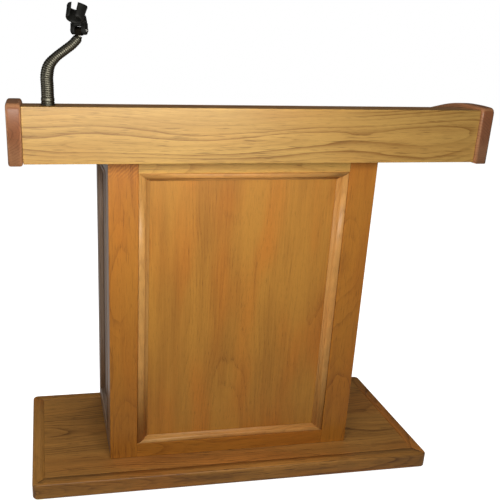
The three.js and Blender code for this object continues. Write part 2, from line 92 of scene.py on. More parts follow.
# The clip's tube leans back by elevation; its slot faces the audience. Places are from the tilt pivot.
CLIP = {"elevation": 62, "length": 0.030, "lower_radius": 0.0195, "upper_radius": 0.0225,
        "flare": 0.0008, "wall": 0.0052, "slot": 0.0150, "mouth": 0.03, "slot_turn": 0.10,
        "back_rise": 0.0025, "side_rise": 0.010, "aside": 0.0016, "back": 0.019, "up": 0.035,
        "rim_ease": 0.0014, "ear_inner": 0.0081, "ear_outer": 0.0178, "ear_radius": 0.0098,
        "bridge": 0.0108, "web_foot": 0.0078, "web_top": 0.031}

ROOM_LIGHT = 0.047
FLOOR_MIRRORED = 0.42      # how bright the floor looks in a glossy face
LIGHTS = {                 # place, target, size, power and colour
    "front": ((-0.28, -1.12, 1.13), (-0.08, 0.0, 0.98), (1.2, 0.25), 12.7, (1.0, 0.985, 0.94)),
    "left": ((-2.3, -0.6, 1.35), (-0.45, 0.0, 1.05), (0.7, 1.2), 7, (0.97, 0.98, 1.0)),
    "right": ((1.1, -2.3, 1.7), (-0.3, 0.0, 1.2), (0.5, 1.0), 1.8, (1.0, 0.88, 0.72)),
    "back": ((0.6, 2.8, 2.3), (0.0, 0.2, 0.7), (2.2, 1.4), 30, (1.0, 0.98, 0.95)),
    "overhead": ((0.0, -1.1, 2.9), (0, 0, 0.3), (2.2, 1.0), 5.4, (1.0, 0.92, 0.82)),
}

# Oak tones, as (pale wood, dark growth line): linear colours.
OAK_APRON = ((0.54, 0.320, 0.084), (0.25, 0.114, 0.021))
OAK_FRAME = ((0.54, 0.216, 0.026), (0.25, 0.077, 0.009))
OAK_PANEL = ((0.58, 0.265, 0.041), (0.27, 0.090, 0.012))
OAK_MOULDING = ((0.68, 0.355, 0.100), (0.38, 0.155, 0.034))
# Painted light: the top rail is a paler copy of the frame's oak, lit up against the shade under the
# apron.
OAK_TOP_RAIL_PAINTED_LIGHT = ((0.74, 0.445, 0.110), (0.40, 0.180, 0.034))
# Painted reflection: the sides' oak is a greyer copy of the frame's oak, standing in for the pale sheen
# the sides show at a grazing view.
OAK_SIDE_PAINTED_SHEEN = ((0.34, 0.230, 0.155), (0.17, 0.100, 0.060))
OAK_END = ((0.43, 0.205, 0.095), (0.22, 0.086, 0.036))
OAK_DESK = ((0.52, 0.280, 0.100), (0.22, 0.100, 0.030))
OAK_BASE = ((0.50, 0.235, 0.053), (0.137, 0.056, 0.012))
PLAIN_WOOD = ((0.60, 0.405, 0.220), (0.38, 0.220, 0.100))


# ---------------------------------------------------------------- shader helpers


class Graph:
    """Short calls for building one material's nodes."""

    def __init__(self, material):
        self.tree = material.node_tree
        self.shader = self.tree.nodes["Principled BSDF"]

    def add(self, kind, values=(), **settings):
        node = self.tree.nodes.new(kind)
        for name, value in settings.items():
            setattr(node, name, value)
        for key, value in dict(values).items():
            self.feed(node.inputs[key], value)
        return node

    def feed(self, socket, value):
        if isinstance(value, bpy.types.NodeSocket):
            self.tree.links.new(value, socket)
        else:
            socket.default_value = value

    def math(self, operation, *values, clamp=False):
        node = self.add("ShaderNodeMath", enumerate(values), operation=operation, use_clamp=clamp)
        return node.outputs[0]

    def vector(self, operation, *values):
        node = self.add("ShaderNodeVectorMath", enumerate(values), operation=operation)
        return node.outputs[1] if operation == "LENGTH" else node.outputs[0]

    def noise(self, place, stretch, detail=2.0, roughness=0.5):
        """A noise whose grains are 1/stretch metres along each axis, about 0.5 on average."""
        scaled = self.vector("MULTIPLY", place, stretch)
        values = {"Vector": scaled, "Scale": 1.0, "Detail": detail, "Roughness": roughness}
        return self.add("ShaderNodeTexNoise", values).outputs["Fac"]

    def spread(self, value, low, high, to_low=0.0, to_high=1.0):
        node = self.add("ShaderNodeMapRange", {
            "Value": value, "From Min": low, "From Max": high, "To Min": to_low, "To Max": to_high,
        }, interpolation_type="SMOOTHSTEP")
        return node.outputs["Result"]

    def curve(self, value, stops):
        """A value from 0 to 1 looked up in (position, height) stops."""
        node = self.add("ShaderNodeValToRGB", {"Fac": value})
        elements = node.color_ramp.elements
        while len(elements) < len(stops):
            elements.new(0.5)
        for element, (position, height) in zip(elements, stops):
            element.position = position
            element.color = (height, height, height, 1)
        return node.outputs["Color"]

    def blend(self, share, first, second, blend_type="MIX"):
        node = self.add("ShaderNodeMix", data_type="RGBA", blend_type=blend_type)
        sockets = (node.inputs[0], node.inputs[6], node.inputs[7])
        for socket, value in zip(sockets, (share, first, second)):
            if isinstance(value, tuple) and len(value) == 3:
                value = (*value, 1)
            self.feed(socket, value)
        return node.outputs[2]

    def set(self, **values):
        for name, value in values.items():
            self.feed(self.shader.inputs[name.replace("_", " ")], value)


def new_material(name):
    material = bpy.data.materials.new(name)
    material.use_nodes = True
    return material, Graph(material)


def oak(name, tones, grain, middle, seed, pith=0.030, tilt=0.045, spacing=0.0065, lines=0.8,
        streaks=0.45, gloss=0.5, red=0.35, wander=0.10, flecks=0.5, cloud=0.45, curl_from=None):
    """Sawn, lacquered oak.

    grain is (axis along the grain, axis across the board's face, axis through its thickness) and
    middle the board's middle. The growth rings are cylinders round a pith that lies pith metres behind
    the middle and climbs by tilt, so that the face shows arches; lines is their contrast. Past
    curl_from, a distance along the grain, the face shows the slanting ripples of a curled grain.
    """
    material, g = new_material(name)
    pale, dark = tones
    along, across, through = grain
    place = g.add("ShaderNodeTexCoord").outputs["Object"]
    place = g.vector("SUBTRACT", place, tuple(middle))
    axes = g.add("ShaderNodeSeparateXYZ", {"Vector": place}).outputs
    wood = g.add("ShaderNodeCombineXYZ", {
        "X": axes[along], "Y": axes[across], "Z": axes[through]}).outputs[0]
    wood_axes = (axes[along], axes[across], axes[through])
    shifted = g.vector("ADD", wood, (seed * 3.7, seed * 1.9, seed * 5.3))

    slow = g.noise(shifted, (1.5, 5.0, 5.0), detail=1.0)
    drift = g.noise(g.vector("ADD", shifted, (7.0, 3.0, 1.0)), (1.8, 3.0, 3.0), detail=1.0)
    ripple = g.noise(shifted, (5.0, 45.0, 45.0), detail=2.0)
    aside = g.math("MULTIPLY_ADD", g.math("SUBTRACT", slow, 0.5), wander, wood_axes[1])
    climb = g.math("MULTIPLY_ADD", wood_axes[0], tilt, pith)
    behind = g.math("MULTIPLY_ADD", g.math("SUBTRACT", drift, 0.5), 0.13, climb)
    behind = g.math("ADD", behind, wood_axes[2])
    flat = g.add("ShaderNodeCombineXYZ", {"X": aside, "Y": behind}).outputs[0]
    ring = g.math("DIVIDE", g.vector("LENGTH", flat), spacing)
    ring = g.math("MULTIPLY_ADD", ripple, 0.9, ring)
    phase = g.math("FRACT", ring)
    number = g.math("FLOOR", ring)
    weight = g.add("ShaderNodeTexWhiteNoise", {"W": number}, noise_dimensions="1D").outputs["Value"]
    ring_shape = [(0.0, 1.0), (0.10, 0.86), (0.30, 0.36), (0.60, 0.10), (0.90, 0.04), (1.0, 0.55)]
    line = g.curve(phase, ring_shape)
    line = g.math("MULTIPLY", line, g.spread(weight, 0.0, 1.0, 0.25, 1.0))
    fading = g.noise(g.vector("ADD", shifted, (5.0, 8.0, 2.0)), (1.6, 11.0, 11.0), detail=2.0)
    line = g.math("MULTIPLY", line, g.spread(fading, 0.36, 0.62, 0.20, 1.15))

    broad = g.noise(shifted, (2.2, 34.0, 34.0), detail=3.0, roughness=0.6)
    fine = g.noise(shifted, (9.0, 260.0, 260.0), detail=3.0, roughness=0.65)
    pores = g.noise(shifted, (42.0, 1150.0, 1150.0), detail=1.0)
    patch = g.noise(shifted, (2.6, 7.0, 7.0), detail=2.0)
    hue = g.noise(g.vector("ADD", shifted, (2.0, 9.0, 4.0)), (2.0, 8.0, 8.0), detail=2.0)

    shade = g.math("MULTIPLY", line, lines)
    shade = g.math("MULTIPLY_ADD", g.math("SUBTRACT", broad, 0.5), streaks * 1.5, shade)
    shade = g.math("MULTIPLY_ADD", g.math("SUBTRACT", fine, 0.5), streaks * 0.9, shade)
    shade = g.math("MULTIPLY_ADD", g.math("SUBTRACT", patch, 0.5), cloud, shade)
    if curl_from is not None:
        slant = g.math("ADD", wood_axes[0], g.math("MULTIPLY", wood_axes[1], -1.0))
        waves = g.math("MULTIPLY_ADD", ripple, 14.0, g.math("MULTIPLY", slant, 2 * math.pi / 0.011))
        curled = g.math("MULTIPLY", g.math("SINE", waves),
                        g.spread(wood_axes[0], curl_from, curl_from + 0.03, 0.0, 0.26))
        shade = g.math("ADD", shade, curled)
    shade = g.math("ADD", shade, 0.12, clamp=True)
    colour = g.blend(shade, pale, dark)
    reddened = g.blend(1.0, colour, (1.10, 0.80, 0.62), "MULTIPLY")
    colour = g.blend(g.spread(hue, 0.42, 0.70, 0.0, red), colour, reddened)
    pore = g.math("MULTIPLY", g.spread(pores, 0.60, 0.70), g.math("MULTIPLY_ADD", line, 0.6, 0.25))
    colour = g.blend(pore, colour, tuple(0.45 * value for value in dark))
    dashes = g.noise(g.vector("ADD", shifted, (1.0, 6.0, 3.0)), (17.0, 380.0, 380.0), detail=1.0)
    fleck_strength = g.math("MULTIPLY", flecks, g.spread(fading, 0.3, 0.6, 0.3, 1.0))
    fleck = g.math("MULTIPLY", g.spread(dashes, 0.62, 0.72), fleck_strength)
    colour = g.blend(fleck, colour, tuple(0.6 * value for value in dark))

    normal = g.add("ShaderNodeSeparateXYZ", {
        "Vector": g.add("ShaderNodeTexCoord").outputs["Normal"]}).outputs[along]
    end_grain = g.spread(g.math("ABSOLUTE", normal), 0.75, 0.97)
    end_colour = g.blend(1.0, colour, (0.62, 0.50, 0.44), "MULTIPLY")
    colour = g.blend(end_grain, colour, end_colour)

    wear_and_groove_shade = g.add("ShaderNodeAttribute", attribute_name="wear_and_groove_shade").outputs["Fac"]
    chafe = g.noise(shifted, (30.0, 60.0, 60.0), detail=3.0)
    chafed = g.math("MULTIPLY", wear_and_groove_shade, g.spread(chafe, 0.40, 0.66, 0.10, 0.55))
    worn_colour = g.blend(1.0, colour, (1.30, 1.28, 1.25), "MULTIPLY")
    colour = g.blend(chafed, colour, worn_colour)

    height = g.math("MULTIPLY_ADD", pore, -1.0, g.math("MULTIPLY", line, -0.35))
    height = g.math("MULTIPLY_ADD", fine, 0.35, height)
    bump = g.add("ShaderNodeBump", {"Strength": 0.35, "Distance": 0.00025, "Height": height})
    sag = g.noise(place, (55.0, 55.0, 55.0), detail=1.0)
    film = g.add("ShaderNodeBump", {"Strength": 0.12, "Distance": 0.0006, "Height": sag})
    rough = g.math("MULTIPLY_ADD", fine, 0.16, g.math("MULTIPLY_ADD", chafed, 0.18, 0.42))
    g.set(Base_Color=colour, Roughness=rough, Normal=bump.outputs[0], Coat_Normal=film.outputs[0],
          Coat_Weight=gloss, Coat_Roughness=0.34, Coat_IOR=1.45, Specular_IOR_Level=0.25)
    return material


# ---------------------------------------------------------------- mesh helpers


def new_piece(name, fill, material, replaces=(), body="lectern"):
    """A mesh object of the vertices and faces that fill adds, riding on its body if it has one."""
    mesh = bpy.data.meshes.new(name)
    shape = bmesh.new()
    # Edge wear on boards and the clip; on the gooseneck it holds the wire's back, from which shade is
    # painted between the turns.
    wear_and_groove_shade = shape.verts.layers.float.new("wear_and_groove_shade")
    fill(shape, wear_and_groove_shade)
    bmesh.ops.remove_doubles(shape, verts=shape.verts, dist=1e-6)
    bmesh.ops.recalc_face_normals(shape, faces=shape.faces)
    for face in shape.faces:
        face.smooth = True
    shape.to_mesh(mesh)
    shape.free()
    mesh.materials.append(material)
    piece = bpy.data.objects.new(name, mesh)
    bpy.context.scene.collection.objects.link(piece)
    if body:
        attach(piece, body)
    if replaces:
        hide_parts(*replaces)
    return piece


def add_vertex(shape, wear_and_groove_shade, point, wear_and_wire_back=0.0):
    vertex = shape.verts.new(point)
    vertex[wear_and_groove_shade] = wear_and_wire_back
    return vertex


def add_faces(shape, quads):
    """Adds faces from vertex lists, leaving out repeated vertices that a corner may give."""
    for quad in quads:
        corners = list(dict.fromkeys(quad))
        if len(corners) > 2:
            shape.faces.new(corners)


def skin(shape, rings):
    """Joins neighbouring rings of vertices with quads."""
    for first, second in zip(rings, rings[1:]):
        count = len(first)
        add_faces(shape, ([first[i], first[(i + 1) % count], second[(i + 1) % count], second[i]]
                          for i in range(count)))


def smoothstep(value, low, high):
    share = min(max((value - low) / (high - low), 0.0), 1.0)
    return share * share * (3 - 2 * share)


def edge_stops(low, high, radius):
    """Places along one side of a board: close together in its rounded edges and the worn bands beside
    them.
    """
    band = min(RUBBED_BAND, 0.3 * (high - low))
    near = [0.0, 0.3 * radius, 0.6 * radius, radius, radius + 0.4 * band, radius + band]
    middle = (low + high) / 2
    stops = [low + step for step in near if low + step < middle]
    return stops + [high - (stop - low) for stop in reversed(stops)]


def fill_board(low, high, radius):
    """A box with rounded edges: its lattice points are pulled onto the rounding."""
    stops = [edge_stops(low[a], high[a], radius) for a in (X, Y, Z)]
    inner = [(low[a] + radius, high[a] - radius) for a in (X, Y, Z)]

    def fill(shape, wear_and_groove_shade):
        made = {}

        def vertex(index):
            if index not in made:
                point = Vector(stops[a][index[a]] for a in (X, Y, Z))
                core = Vector(min(max(point[a], inner[a][0]), inner[a][1]) for a in (X, Y, Z))
                rounded = core + (point - core).normalized() * radius
                gaps = sorted(min(point[a] - low[a], high[a] - point[a]) for a in (X, Y, Z))
                made[index] = add_vertex(shape, wear_and_groove_shade, rounded, 1 - smoothstep(gaps[1], 0, RUBBED_BAND))
            return made[index]

        for a in (X, Y, Z):
            b, c = (axis for axis in (X, Y, Z) if axis != a)
            for side in (0, len(stops[a]) - 1):
                for i in range(len(stops[b]) - 1):
                    for j in range(len(stops[c]) - 1):
                        corners = []
                        for di, dj in ((0, 0), (1, 0), (1, 1), (0, 1)):
                            index = [0, 0, 0]
                            index[a], index[b], index[c] = side, i + di, j + dj
                            corners.append(vertex(tuple(index)))
                        add_faces(shape, [corners])

    return fill


def turned(points):
    """Inward unit offset of each point of a closed counter-clockwise outline, mitred at corners."""
    offsets = []
    count = len(points)
    for i, point in enumerate(points):
        before = (point - points[i - 1]).normalized()
        after = (points[(i + 1) % count] - point).normalized()
        side = Vector((-before.y, before.x)) + Vector((-after.y, after.x))
        side.normalize()
        share = max(side.dot(Vector((-after.y, after.x))), 0.5)
        offsets.append(side / share)
    return offsets


def fill_slab(outline, axis, low, high, radius, band):
    """A slab of that outline, between two planes across axis, with its rim rounded.

    The outline is counter-clockwise in the plane of the two other axes.
    """
    inward = turned(outline)
    steps = 5
    near = [(band + radius, 0.0, 0.0), (band / 2 + radius, 0.0, 0.5)]
    for i in range(steps + 1):
        angle = i / steps * math.pi / 2
        near.append((radius * (1 - math.sin(angle)), radius * (1 - math.cos(angle)), 1.0))
    near += [(0.0, radius + band / 2, 0.5), (0.0, radius + band, 0.0)]
    stations = [(inset, low + step, wear_and_wire_back) for inset, step, wear_and_wire_back in near]
    stations += [(inset, high - step, wear_and_wire_back) for inset, step, wear_and_wire_back in reversed(near)]
    b, c = (other for other in (X, Y, Z) if other != axis)

    def fill(shape, wear_and_groove_shade):
        rings = []
        for inset, place, wear_and_wire_back in stations:
            ring = []
            for point, side in zip(outline, inward):
                flat = point + side * inset
                spot = [0.0, 0.0, 0.0]
                spot[axis], spot[b], spot[c] = place, flat.x, flat.y
                ring.append(add_vertex(shape, wear_and_groove_shade, spot, wear_and_wire_back))
            rings.append(ring)
        skin(shape, rings)
        shape.faces.new(rings[0])
        shape.faces.new(rings[-1])

    return fill


def arc(centre, radius, start, end, steps):
    """Points on an arc, angles in degrees."""
    angles = [math.radians(start + (end - start) * i / steps) for i in range(steps + 1)]
    return [Vector((centre[0] + radius * math.cos(a), centre[1] + radius * math.sin(a))) for a in angles]


def quadratic(start, control, end, steps):
    """Points of a quadratic curve, its start left out."""
    start, control, end = Vector(start), Vector(control), Vector(end)
    shares = [i / steps for i in range(1, steps + 1)]
    return [start * (1 - t) ** 2 + control * 2 * t * (1 - t) + end * t * t for t in shares]


def frame_along(direction):
    """Two unit vectors square to a direction, the first as level as it can be."""
    level = direction.cross(Vector((0, 1, 0)))
    first = level.normalized() if level.length > 1e-4 else Vector((1, 0, 0))
    return first, direction.cross(first)


def fill_lathe(profile, origin, direction, sides=48):
    """A turned piece: profile is (radius, distance along the axis, wear), from axis to axis."""
    direction = Vector(direction).normalized()
    first, second = frame_along(direction)

    def fill(shape, wear_and_groove_shade):
        rings = []
        for radius, along, wear_and_wire_back in profile:
            centre = Vector(origin) + direction * along
            if radius < 1e-7:
                rings.append([add_vertex(shape, wear_and_groove_shade, centre, wear_and_wire_back)] * sides)
                continue
            ring = []
            for i in range(sides):
                angle = 2 * math.pi * i / sides
                spot = centre + first * radius * math.cos(angle) + second * radius * math.sin(angle)
                ring.append(add_vertex(shape, wear_and_groove_shade, spot, wear_and_wire_back))
            rings.append(ring)
        skin(shape, rings)

    return fill


def softened(corners, radius, steps=3):
    """A (radius, along) profile with its corners rounded, as lathe points with wear on the corners."""
    points = [Vector(corner) for corner in corners]
    out = []
    for i, point in enumerate(points):
        if i in (0, len(points) - 1):
            out.append((point.x, point.y, 0.0))
            continue
        back, ahead = points[i - 1] - point, points[i + 1] - point
        cut = min(radius, 0.45 * back.length, 0.45 * ahead.length)
        start, end = point + back.normalized() * cut, point + ahead.normalized() * cut
        out.append((start.x, start.y, 0.6))
        out += [(spot.x, spot.y, 1.0) for spot in quadratic(start, point, end, steps)[:-1]]
        out.append((end.x, end.y, 0.6))
    return out


# ---------------------------------------------------------------- boards


def oak_for(node, order, tones, seed, **looks):
    """An oak material whose grain axes are spelt in order, such as XZY, placed on a node's middle."""
    low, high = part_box(node)
    grain = tuple("XYZ".index(letter) for letter in order)
    return oak(f"oak_{node}", tones, grain, (low + high) / 2, seed, **looks)


def add_board(node, order, tones, slot, seed, edge=EDGE_ROUND, **looks):
    low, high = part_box(node)
    material = oak_for(node, order, tones, seed, **looks)
    new_piece(f"{node}_wood", fill_board(low, high, edge), material, replaces=[node])


def add_base():
    looks = {"pith": 0.045, "tilt": 0.020, "spacing": 0.0085, "lines": 0.70, "streaks": 0.75,
             "red": 0.45, "wander": 0.20, "flecks": 0.8, "cloud": 0.3}
    add_board("base_panel", "XYZ", OAK_BASE, "base_oak", 3.1, edge=0.0004, **looks)
    seeds = {"front": 4.3, "back": 5.9, "left": 7.2, "right": 8.8}
    for turn, side in enumerate(("front", "right", "back", "left")):
        node = f"base_lipping_{side}"
        order = "XZY" if side in ("front", "back") else "YXZ"
        material = oak_for(node, order, OAK_BASE, seeds[side], pith=0.060, lines=0.6, streaks=0.7,
                           red=0.8, flecks=0.8)
        new_piece(f"{node}_wood", fill_lipping(turn), material, replaces=[node])
    for depth_name in ("front", "back"):
        for side in ("left", "right"):
            node = f"glide_{depth_name}_{side}"
            low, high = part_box(node)
            radius = (high.x - low.x) / 2
            profile = softened([(0, 0), (radius, 0), (radius, high.z - low.z), (0, high.z - low.z)],
                               0.0015)
            middle = (low + high) / 2
            fill = fill_lathe(profile, (middle.x, middle.y, low.z), (0, 0, 1))
            new_piece(f"{node}_nylon", fill, NYLON, replaces=[node])


def lipping_section():
    """(distance in from the rim, distance up from the underside, wear) round a lipping's outer side."""
    low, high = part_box("base_lipping_front")
    height = high.z - low.z
    r = LIPPING_ROUND
    corners = [((r, height - r), 90, 180), ((r, r), 180, 270)]
    section = [(r + 0.010, height, 0.0)]
    for centre, start, end in corners:
        section += [(point.x, point.y, 1.0) for point in arc(centre, r, start, end, 6)]
    return section + [(r + 0.010, 0.0, 0.0)]


def fill_lipping(turn):
    """One side of the base's lipping, from mitre to mitre, after so many quarter turns from the front."""
    left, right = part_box("base_lipping_left"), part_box("base_lipping_right")
    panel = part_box("base_panel")
    outer_low = Vector((left[0].x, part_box("base_lipping_front")[0].y, left[0].z))
    outer_high = Vector((right[1].x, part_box("base_lipping_back")[1].y, left[1].z))
    middle = (outer_low + outer_high) / 2
    half = [(outer_high.x - outer_low.x) / 2, (outer_high.y - outer_low.y) / 2]
    well = [panel[1].x + 0.0003 - middle.x, panel[1].y + 0.0003 - middle.y]
    if turn % 2:
        half.reverse()
        well.reverse()
    r = LIPPING_CORNER
    lean = 0.4
    path = [((-half[0] + r, -half[1] + r), angle) for angle in range(225, 271, 9)]
    path += [((spot, -half[1] + r), 270) for spot in (-well[0], -well[0] / 3, well[0] / 3, well[0])]
    path += [((half[0] - r, -half[1] + r), angle) for angle in range(270, 316, 9)]
    path[0] = (path[0][0], 225 + lean)
    path[-1] = (path[-1][0], 315 - lean)
    section = lipping_section()
    height = outer_high.z - outer_low.z
    spin = Matrix.Rotation(turn * math.pi / 2, 3, "Z")

    def fill(shape, wear_and_groove_shade):
        rings = []
        for centre, angle in path:
            out = Vector((math.cos(math.radians(angle)), math.sin(math.radians(angle)), 0))
            rim = Vector((*centre, 0)) + out * r
            inner = Vector((min(max(rim.x, -well[0]), well[0]), -well[1], 0))
            spots = [(inner + Vector((0, 0, height)), 0.0)]
            spots += [(rim - out * inset + Vector((0, 0, up)), wear_and_wire_back) for inset, up, wear_and_wire_back in section]
            spots += [(inner, 0.0)]
            shift = Vector((middle.x, middle.y, outer_low.z))
            rings.append([add_vertex(shape, wear_and_groove_shade, spin @ spot + shift, wear_and_wire_back) for spot, wear_and_wire_back in spots])
        skin(shape, rings)
        shape.faces.new(rings[0])
        shape.faces.new(rings[-1])

    return fill


def moulding_profile():
    """A panel moulding's section: (over the panel, away from it, wear)."""
    m = MOULDING
    gap, height, lip = m["edge_gap"], m["height"], m["lip"]
    groove = height - 0.0055
    profile = [(m["width"] - gap, gap, 0.0), (m["width"] - gap, lip - 0.0005, 0.3)]
    profile += [(m["foot"] + 0.0006, lip, 0.5)]
    slope = quadratic((m["foot"], lip + 0.0006), (m["crest_end"] + 0.004, height * 0.42),
                      (m["crest_end"] + 0.0015, height - 0.0032), 6)
    profile += [(m["foot"], lip + 0.0006, 0.0)] + [(p.x, p.y, 0.2) for p in slope]
    crest = quadratic((m["crest_end"] + 0.0015, height - 0.0032), (m["crest_end"], height - 0.0005),
                      (m["crest_end"] * 0.55, height), 6)
    profile += [(p.x, p.y, 0.8) for p in crest]
    ease = quadratic((m["crest_end"] * 0.55, height), (m["quirk"] + 0.0006, height - 0.0002),
                     (m["quirk"], height - 0.0016), 4)
    profile += [(p.x, p.y, 0.8) for p in ease]
    profile += [(m["quirk"], groove, 0.0), (gap, groove, 0.0), (gap, gap, 0.0)]
    return profile


def fill_moulding(corner, inward, normal, length):
    """A straight moulding with mitred ends, over the panel towards inward and standing along normal."""
    along = inward.cross(normal)
    gap = MOULDING["edge_gap"]
    widths = [MOULDING["side_width"], MOULDING["end_width"]]
    if abs(inward.z) > 0.5:
        widths.reverse()
    stretch, mitre_slope = widths[0] / MOULDING["width"], widths[1] / widths[0]
    profile = [(over * stretch, up, wear_and_wire_back) for over, up, wear_and_wire_back in moulding_profile()]

    def fill(shape, wear_and_groove_shade):
        rings = []
        for share in (0.0, 0.33, 0.67, 1.0):
            ring = []
            for over, up, wear_and_wire_back in profile:
                mitre = over * mitre_slope + gap
                place = mitre + share * (length - 2 * mitre)
                spot = corner + inward * over + normal * up + along * place
                ring.append(add_vertex(shape, wear_and_groove_shade, spot, wear_and_wire_back))
            rings.append(ring)
        skin(shape, rings)
        shape.faces.new(rings[0])
        shape.faces.new(rings[-1])

    return fill


def add_mouldings(name, panel_node, normal, tones, seed, replaced=False):
    """Four mouldings round a panel's opening, on the side that normal points to."""
    low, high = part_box(panel_node)
    low, high = low - Vector([MOULDING["edge_gap"]] * 3), high + Vector([MOULDING["edge_gap"]] * 3)
    depth = max(normal.dot(low), normal.dot(high))
    middle = (low + high) / 2
    middle += normal * (depth - normal.dot(middle))
    level = Vector((abs(normal.y), abs(normal.x), 0))
    half = {"wide": level.dot(high - low) / 2, "tall": (high.z - low.z) / 2}
    sides = {"bottom": (AXES[Z], half["tall"], half["wide"]),
             "top": (-AXES[Z], half["tall"], half["wide"]),
             "left": (level, half["wide"], half["tall"]),
             "right": (-level, half["wide"], half["tall"])}
    through = "X" if abs(normal.x) > 0.5 else "Y"
    flat = "Y" if through == "X" else "X"
    for number, (side, (inward, reach, run)) in enumerate(sides.items()):
        along = inward.cross(normal)
        corner = middle - inward * reach - along * run
        order = flat + "Z" + through if side in ("bottom", "top") else "Z" + flat + through
        grain = tuple("XYZ".index(letter) for letter in order)
        material = oak(f"oak_{name}_{side}", tones, grain, corner, seed + number, pith=0.045,
                       lines=0.35, streaks=0.35, spacing=0.009)
        nodes = [f"{name}_{side}"] if replaced else []
        new_piece(f"{name}_{side}_wood", fill_moulding(corner, inward, normal, 2 * run), material,
                  replaces=nodes)


def add_cabinet():
    frame_looks = {"lines": 0.40, "streaks": 0.50, "pith": 0.120, "spacing": 0.0065, "tilt": 0.02,
                   "edge": 0.0009}
    add_board("front_stile_left", "ZXY", OAK_FRAME, "frame_oak", 11.3, curl_from=0.375, **frame_looks)
    add_board("front_stile_right", "ZXY", OAK_FRAME, "frame_oak", 12.3, **frame_looks)
    add_board("front_rail_bottom", "XZY", OAK_FRAME, "frame_oak", 14.6, **frame_looks)
    # The top rail takes the paler oak, with light painted into its colour.
    add_board("front_rail_top", "XZY", OAK_TOP_RAIL_PAINTED_LIGHT, "frame_oak", 15.6, **frame_looks)
    add_board("front_panel", "ZXY", OAK_PANEL, "panel_oak", 17.9, lines=0.20, streaks=0.60, pith=0.090,
              spacing=0.014, tilt=0.03, wander=0.30, red=0.70, cloud=1.0, flecks=0.2)
    add_mouldings("front_moulding", "front_panel", Vector((0, -1, 0)), OAK_MOULDING, 21.0, replaced=True)
    # The sides, their panels and their mouldings take the greyer oak with a painted sheen.
    for sign, side in ((-1, "left_side"), (1, "right_side")):
        base_seed = 30.0 + 10 * sign
        for number, place in enumerate(("front", "back")):
            add_board(f"{side}_stile_{place}", "ZYX", OAK_SIDE_PAINTED_SHEEN, "frame_oak", base_seed + number,
                      **frame_looks)
        for number, place in enumerate(("bottom", "top")):
            add_board(f"{side}_rail_{place}", "YZX", OAK_SIDE_PAINTED_SHEEN, "frame_oak", base_seed + 2.4 + number,
                      **frame_looks)
        add_board(f"{side}_panel", "ZYX", OAK_SIDE_PAINTED_SHEEN, "panel_oak", base_seed + 5.1, lines=0.22,
                  streaks=0.42, pith=0.090, spacing=0.010)
        add_mouldings(f"{side}_moulding", f"{side}_panel", Vector((sign, 0, 0)), OAK_SIDE_PAINTED_SHEEN,
                      base_seed + 6.0)
    plain = {"lines": 0.45, "streaks": 0.35, "gloss": 0.25, "pith": 0.050, "spacing": 0.009}
    add_board("cabinet_floor", "XYZ", PLAIN_WOOD, "inner_wood", 52.0, **plain)
    add_board("shelf", "XYZ", PLAIN_WOOD, "inner_wood", 54.0, **plain)
    add_board("cabinet_back_rail", "XZY", OAK_FRAME, "frame_oak", 56.0, **frame_looks)


def end_board_outline(low, high, ledge_back):
    """An end board's outline in (Y, Z): almost level over the ledge, then down the reading slope."""
    e = END_BOARD
    fall = math.tan(READING_SLOPE)
    front, back, bottom, crown = low.y, high.y, low.z, high.z
    front_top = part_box("apron")[1].z + e["front_rise"]
    bend = Vector((ledge_back + e["level"], crown - e["fall"]))
    back_top = bend.y - (back - bend.x) * fall
    r = e["front_round"] + e["round"]
    points = [Vector((front, bottom)), Vector((back, bottom)), Vector((back, back_top - e["back_round"]))]
    points += quadratic((back, back_top - e["back_round"]), (back, back_top),
                        (back - e["back_round"], back_top + e["back_round"] * fall), 8)
    points.append(bend)
    points += quadratic(bend, (bend.x - e["fall"] / fall, crown), (ledge_back, crown), 10)
    points += quadratic((ledge_back, crown), (ledge_back - e["ease"], crown), (front + r, front_top), 6)
    points += arc((front + r, front_top - r), r, 90, 180, 8)[1:]
    return points


def add_desk():
    add_board("apron", "XZY", OAK_APRON, "apron_oak", 61.0, edge=0.001, pith=0.022, tilt=0.050,
              spacing=0.0105, lines=0.75, streaks=0.55, red=0.25, wander=0.14, flecks=0.6)
    add_board("ledge", "XYZ", OAK_DESK, "desk_oak", 63.0)
    add_board("desk_back_rail", "XZY", OAK_FRAME, "frame_oak", 65.0)
    add_board("desk_floor", "XYZ", PLAIN_WOOD, "inner_wood", 67.0, gloss=0.2)
    reading = frame["nodes"]["reading_board"]
    reading.data.materials.clear()
    reading.data.materials.append(oak_for("reading_board", "XYZ", OAK_DESK, 69.0, pith=0.060,
                                          spacing=0.008, wander=0.2))
    for number, side in enumerate(("left", "right")):
        node = f"end_board_{side}"
        low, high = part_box(node)
        outline = end_board_outline(low, high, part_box("ledge")[1].y)
        material = oak_for(node, "YZX", OAK_END, 71.0 + 3 * number, lines=0.6, streaks=0.5)
        fill = fill_slab(outline, X, low.x, high.x, END_BOARD["round"], 0.005)
        new_piece(f"{node}_wood", fill, material, replaces=[node])


def add_book_stop():
    """The strip near the low edge of the reading board that keeps papers from sliding off."""
    reading_low, reading_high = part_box("reading_board")
    low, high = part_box("book_stop")
    height, thickness, from_edge = BOOK_STOP["height"], BOOK_STOP["thickness"], BOOK_STOP["from_edge"]
    downhill = Vector((math.cos(READING_SLOPE), -math.sin(READING_SLOPE)))
    up = Vector((math.sin(READING_SLOPE), math.cos(READING_SLOPE)))
    run = (reading_high.y - reading_low.y) / math.cos(READING_SLOPE)
    foot = Vector((reading_low.y, reading_high.z)) + downhill * (run - from_edge - thickness)
    top = arc((thickness / 2, height - thickness / 2), thickness / 2, 0, 180, 12)
    corners = [Vector((0.0, 0.0003)), Vector((thickness, 0.0003))] + top
    outline = [foot + downhill * point.x + up * point.y for point in corners]
    material = oak_for("book_stop", "XZY", OAK_END, 77.0, lines=0.5)
    fill = fill_slab(outline, X, low.x, high.x, 0.0025, 0.001)
    new_piece("book_stop_wood", fill, material, replaces=["book_stop"])


# ---------------------------------------------------------------- gooseneck


